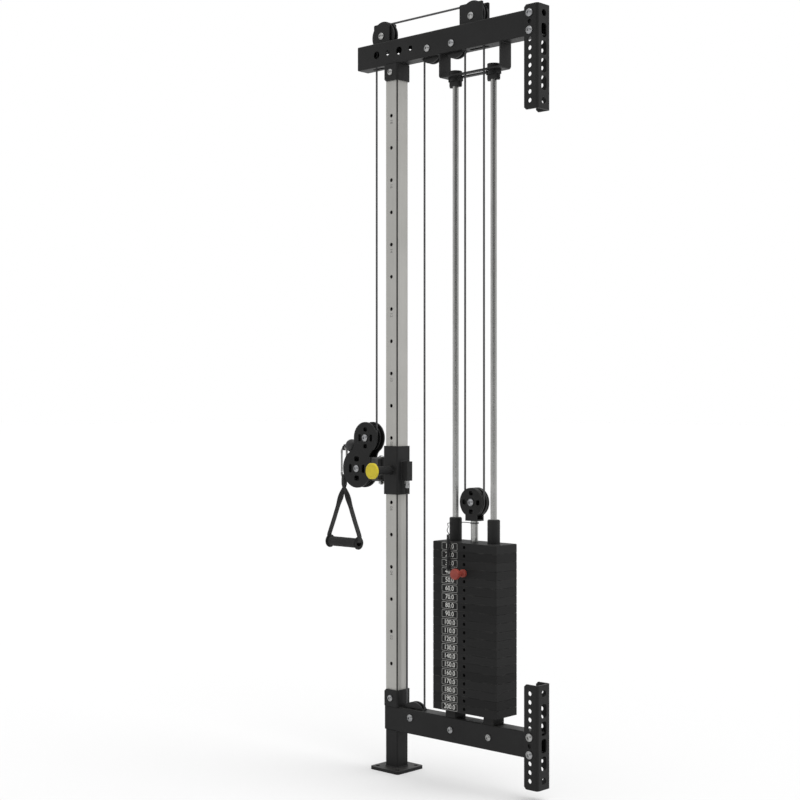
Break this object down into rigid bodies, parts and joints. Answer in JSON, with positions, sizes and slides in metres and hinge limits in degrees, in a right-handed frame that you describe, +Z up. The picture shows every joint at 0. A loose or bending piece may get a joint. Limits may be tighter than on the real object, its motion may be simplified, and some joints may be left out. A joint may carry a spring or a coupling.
{
  "type": "wall pulley weight stack",
  "caption": "Tall column with a sliding swivel pulley and handle, cabled over arm pulleys to a pin-loaded plate stack on guide rods, for bolting to a wall or rack.",
  "frame": {"origin": "middle of the foot plate's underside, on the column's axis", "axes": "+X from the column towards the wall brackets, +Y away from the selector side, +Z up"},
  "size_m": [0.892, 0.178, 2.3701],
  "materials": {
    "black_coat": "fine matte powder coat",
    "column_coat": "satin silver grey powder coat",
    "rod_steel": "ground and plated",
    "zinc": "bright zinc plate",
    "black_iron": "black painted cast iron",
    "rubber": "matte",
    "nylon_black": "moulded nylon",
    "liner": "low-friction plastic",
    "cable": "steel rope in a clear dark sheath",
    "yellow_knob": "moulded",
    "red_knob": "moulded",
    "webbing": "woven nylon webbing",
    "foam": "foam grip"
  },
  "bodies": {
    "frame": {"foot_plate": "black_coat", "foot_post": "black_coat", "lower_arm": "black_coat", "column_collars": "black_coat", "column": "column_coat", "upper_arm": "black_coat", "arm_end_plugs": "nylon_black", "wall_brackets": "black_coat", "bracket_bolts": "zinc", "cross_bolts": "zinc", "front_pulley_bracket": "black_coat", "rear_pulley_bracket": "black_coat", "pulley_axles": "zinc", "rod_hanger": "black_coat", "guide_rods": "rod_steel", "rod_clamps": "black_coat", "rubber_bumpers": "rubber", "resting_plates": "black_iron", "top_cable_run": "cable", "inner_cable_run": "cable", "front_cable_run": "cable", "stack_cable_runs": "cable", "return_cable_run": "cable"},
    "lift": {"head_plate": "black_iron", "selected_plates": "black_iron", "lifting_stem": "rod_steel", "stack_pulley_block": "black_coat", "stack_axle": "zinc", "guide_sleeves": "black_coat", "selector_lanyard": "cable", "stack_cable_bend": "cable"},
    "selector": {"selector_pin": "zinc", "selector_knob": "red_knob"},
    "front_top_wheel": {"front_top_pulley": "nylon_black"},
    "rear_top_wheel": {"rear_top_pulley": "nylon_black"},
    "inner_front_wheel": {"inner_front_pulley": "nylon_black"},
    "inner_rear_wheel": {"inner_rear_pulley": "nylon_black"},
    "lower_wheel": {"lower_pulley": "nylon_black"},
    "stack_wheel": {"stack_pulley": "nylon_black"},
    "block_upper_wheel": {"block_upper_pulley": "nylon_black"},
    "block_lower_wheel": {"block_lower_pulley": "nylon_black"},
    "trolley": {"trolley_sleeve": "black_coat", "sleeve_liners": "liner", "cable_anchor": "black_coat", "cable_end_fitting": "zinc", "pop_pin_housing": "black_coat", "pop_pin_spring": "zinc", "hinge_pin": "zinc"},
    "pop_pin": {"pop_pin_plunger": "zinc", "pop_pin_knob": "yellow_knob"},
    "block": {"block_cheeks": "black_coat", "block_yoke": "zinc", "block_axles": "zinc", "block_cable": "cable"},
    "hook": {"ball_stop": "nylon_black"},
    "snap_hook": {"carabiner": "zinc"},
    "gate": {"carabiner_gate": "zinc"},
    "handle": {"handle_straps": "webbing", "handle_core": "nylon_black"},
    "grip": {"handle_grip": "foam"}
  },
  "joints": [
    {"name": "trolley_slide", "type": "slide", "parent": "frame", "child": "trolley", "axis": [0, 0, 1], "range_m": [-0.6096, 1.1176], "deforming": ["front_cable_run", "return_cable_run"]},
    {"name": "stack_lift", "type": "slide", "parent": "frame", "child": "lift", "axis": [0, 0, 1], "range_m": [0, 1.22], "deforming": ["stack_cable_runs"]},
    {"name": "selector_pull", "type": "slide", "parent": "lift", "child": "selector", "axis": [0, -1, 0], "range_m": [0, 0.08]},
    {"name": "pop_pin_pull", "type": "slide", "parent": "trolley", "child": "pop_pin", "axis": [0, -1, 0], "range_m": [-0.01, 0], "stiffness_N_per_m": 300},
    {"name": "block_swivel", "type": "hinge", "parent": "trolley", "child": "block", "pos_m": [-0.0676, 0, 0.9451], "axis": [0, 0, 1], "range_deg": [-80, 80]},
    {"name": "handle_pull", "type": "slide", "parent": "block", "child": "hook", "axis": [-1, 0, 0], "range_m": [0, 2.44]},
    {"name": "hook_swing", "type": "hinge", "parent": "hook", "child": "snap_hook", "pos_m": [-0.236, 0, 0.9978], "axis": [0, 1, 0], "range_deg": [0, 60]},
    {"name": "gate_open", "type": "hinge", "parent": "snap_hook", "child": "gate", "pos_m": [-0.2475, 0, 0.9348], "axis": [0, 1, 0], "range_deg": [0, 16], "stiffness_Nm_per_rad": 0.05},
    {"name": "handle_swing", "type": "hinge", "parent": "snap_hook", "child": "handle", "pos_m": [-0.236, 0, 0.9258], "axis": [0, 1, 0], "range_deg": [-18, 45]},
    {"name": "grip_spin", "type": "hinge", "parent": "handle", "child": "grip", "pos_m": [-0.236, 0, 0.70181], "axis": [1, 0, 0], "continuous": true},
    {"name": "front_top_turn", "type": "hinge", "parent": "frame", "child": "front_top_wheel", "pos_m": [-0.051, 0, 2.3229], "axis": [0, 1, 0], "continuous": true},
    {"name": "rear_top_turn", "type": "hinge", "parent": "frame", "child": "rear_top_wheel", "pos_m": [0.3215, 0, 2.3229], "axis": [0, 1, 0], "continuous": true},
    {"name": "stack_pulley_turn", "type": "hinge", "parent": "lift", "child": "stack_wheel", "pos_m": [0.3216, 0, 0.8581], "axis": [0, 1, 0], "continuous": true},
    {"name": "block_upper_turn", "type": "hinge", "parent": "block", "child": "block_upper_wheel", "pos_m": [-0.1216, 0, 1.0447], "axis": [0, 1, 0], "continuous": true},
    {"name": "block_lower_turn", "type": "hinge", "parent": "block", "child": "block_lower_wheel", "pos_m": [-0.16, 0, 0.9451], "axis": [0, 1, 0], "continuous": true},
    {"name": "inner_front_turn", "type": "hinge", "parent": "frame", "child": "inner_front_wheel", "pos_m": [0.1519, 0, 2.2506], "axis": [0, 1, 0], "continuous": true},
    {"name": "inner_rear_turn", "type": "hinge", "parent": "frame", "child": "inner_rear_wheel", "pos_m": [0.2508, 0, 2.2506], "axis": [0, 1, 0], "continuous": true},
    {"name": "lower_pulley_turn", "type": "hinge", "parent": "frame", "child": "lower_wheel", "pos_m": [0.081, 0, 0.176], "axis": [0, 1, 0], "continuous": true}
  ],
  "couplings": [
    {"joint": "handle_pull", "follows": "stack_lift", "ratio": 2},
    {"joint": "front_top_turn", "follows": "stack_lift", "rad_per_m": -53.619},
    {"joint": "rear_top_turn", "follows": "stack_lift", "rad_per_m": -53.619},
    {"joint": "stack_pulley_turn", "follows": "stack_lift", "rad_per_m": -26.882},
    {"joint": "block_upper_turn", "follows": "stack_lift", "rad_per_m": 60.06},
    {"joint": "inner_front_turn", "follows": "trolley_slide", "rad_per_m": -29.762},
    {"joint": "inner_rear_turn", "follows": "trolley_slide", "rad_per_m": -29.762},
    {"joint": "lower_pulley_turn", "follows": "trolley_slide", "rad_per_m": 26.81}
  ]
}
